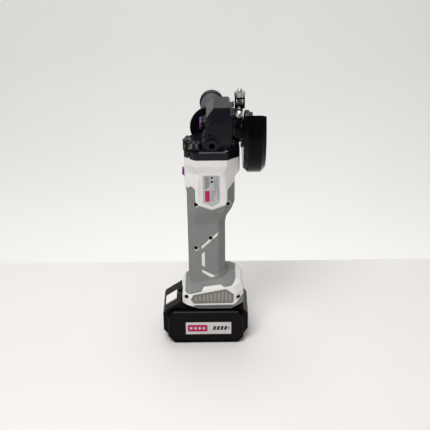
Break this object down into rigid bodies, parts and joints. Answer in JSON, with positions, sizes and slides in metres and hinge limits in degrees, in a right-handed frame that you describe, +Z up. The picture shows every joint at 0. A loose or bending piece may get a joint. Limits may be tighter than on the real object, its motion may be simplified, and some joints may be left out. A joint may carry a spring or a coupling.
{
  "type": "angle grinder",
  "caption": "Cordless angle grinder standing on its slide-on battery, with turning guard, bevel-geared spindle, slide switch, spindle lock and screwed side handle.",
  "frame": {"origin": "foot of the motor axis on the plane the battery stands on, at the middle of the tool's thickness", "axes": "+Z up along the motor axis to the gear case; +X along the spindle, out of the guard's side; +Y towards the fitted side handle; the slide switch is on the -X side and the battery slides off towards -X"},
  "size_m": [0.144, 0.2145, 0.377],
  "materials": {
    "white_shell": "satin",
    "grey_rubber": "matt",
    "black_steel": "blackened",
    "vent_plastic": "matt",
    "plate_metal": "satin",
    "cast_case": "semi-gloss",
    "zinc_steel": "zinc plated",
    "bright_steel": "ground",
    "dull_steel": "oiled",
    "bronze": "oiled",
    "copper": "enamelled",
    "black_plastic": "satin",
    "board": "satin",
    "contact_brass": "bright",
    "purple_plastic": "satin",
    "spring_steel": "bright",
    "guard_paint": "gloss",
    "handle_rubber": "matt",
    "battery_plastic": "satin",
    "cell_sleeve": "satin sleeve",
    "label": "satin",
    "latch_plastic": "satin"
  },
  "bodies": {
    "tool": {"housing_right": "white_shell", "housing_left": "white_shell", "overmold_right": "grey_rubber", "overmold_left": "grey_rubber", "housing_screws": "black_steel", "intake_grille_right": "vent_plastic", "intake_grille_left": "vent_plastic", "rating_plate": "plate_metal", "gear_case": "cast_case", "gear_case_screws": "zinc_steel", "fan_baffle": "vent_plastic", "bearing_box": "cast_case", "bearing_box_screws": "zinc_steel", "rear_bearing_outer": "bright_steel", "front_bearing_outer": "bright_steel", "spindle_bearing_outer": "bright_steel", "spindle_bush": "bronze", "stator_core": "dull_steel", "stator_windings": "copper", "switch_unit": "black_plastic", "controller_board": "board", "terminal_block": "black_plastic", "terminal_blades": "contact_brass", "lock_spring": "spring_steel"},
    "spindle": {"spindle": "bright_steel", "bevel_wheel": "dull_steel", "retaining_ring": "black_steel", "inner_flange": "bright_steel", "spindle_bearing_inner": "bright_steel"},
    "lock_nut": {"lock_nut": "bright_steel"},
    "rotor": {"rotor_shaft": "bright_steel", "rotor_core": "dull_steel", "bevel_pinion": "dull_steel", "cooling_fan": "black_plastic", "rear_bearing_inner": "bright_steel", "front_bearing_inner": "bright_steel"},
    "spindle_lock": {"lock_button": "black_plastic", "lock_button_cap": "purple_plastic", "lock_pin": "bright_steel"},
    "switch": {"switch_slider": "purple_plastic", "switch_rod": "black_plastic"},
    "guard": {"guard": "guard_paint", "guard_clamp": "guard_paint", "clamp_screw": "zinc_steel", "guard_rivets": "zinc_steel", "guard_stud": "zinc_steel", "guard_nut": "zinc_steel"},
    "side_handle": {"handle_body": "black_plastic", "handle_grip": "handle_rubber", "handle_stud": "bright_steel"},
    "battery": {"battery_case_lower": "battery_plastic", "battery_case_upper": "battery_plastic", "battery_screws": "black_steel", "battery_cells": "cell_sleeve", "cell_holder": "black_plastic", "battery_board": "board", "battery_contacts": "contact_brass", "battery_label": "label", "latch_spring": "spring_steel"},
    "latch": {"battery_latch": "latch_plastic"}
  },
  "joints": [
    {"name": "spindle_spin", "type": "hinge", "parent": "tool", "child": "spindle", "pos_m": [0, 0, 0.3285], "axis": [1, 0, 0], "continuous": true},
    {"name": "rotor_spin", "type": "hinge", "parent": "tool", "child": "rotor", "pos_m": [0, 0, 0.25], "axis": [0, 0, 1], "continuous": true},
    {"name": "spindle_lock_press", "type": "slide", "parent": "tool", "child": "spindle_lock", "axis": [1, 0, 0], "range_m": [0, 0.0036], "stiffness_N_per_m": 800, "springref_m": -0.004, "deforming": ["lock_spring"]},
    {"name": "switch_slide", "type": "slide", "parent": "tool", "child": "switch", "axis": [0, 0, 1], "range_m": [0, 0.007], "stiffness_N_per_m": 200, "springref_m": -0.01},
    {"name": "guard_turn", "type": "hinge", "parent": "tool", "child": "guard", "pos_m": [0.0368, 0, 0.3285], "axis": [1, 0, 0], "range_deg": [-75, 75]},
    {"name": "battery_slide", "type": "slide", "parent": "tool", "child": "battery", "axis": [-1, 0, 0], "range_m": [0, 0.1]},
    {"name": "latch_press", "type": "slide", "parent": "battery", "child": "latch", "axis": [0, 0, -1], "range_m": [0, 0.004], "stiffness_N_per_m": 1500, "springref_m": -0.003, "deforming": ["latch_spring"]},
    {"name": "lock_nut_unscrew", "type": "slide", "parent": "spindle", "child": "lock_nut", "axis": [1, 0, 0], "range_m": [0, 0.014]},
    {"name": "side_handle_unscrew", "type": "slide", "parent": "tool", "child": "side_handle", "axis": [0, 1, 0], "range_m": [0, 0.022]}
  ],
  "couplings": [
    {"joint": "rotor_spin", "follows": "spindle_spin", "ratio": 3.6364}
  ]
}
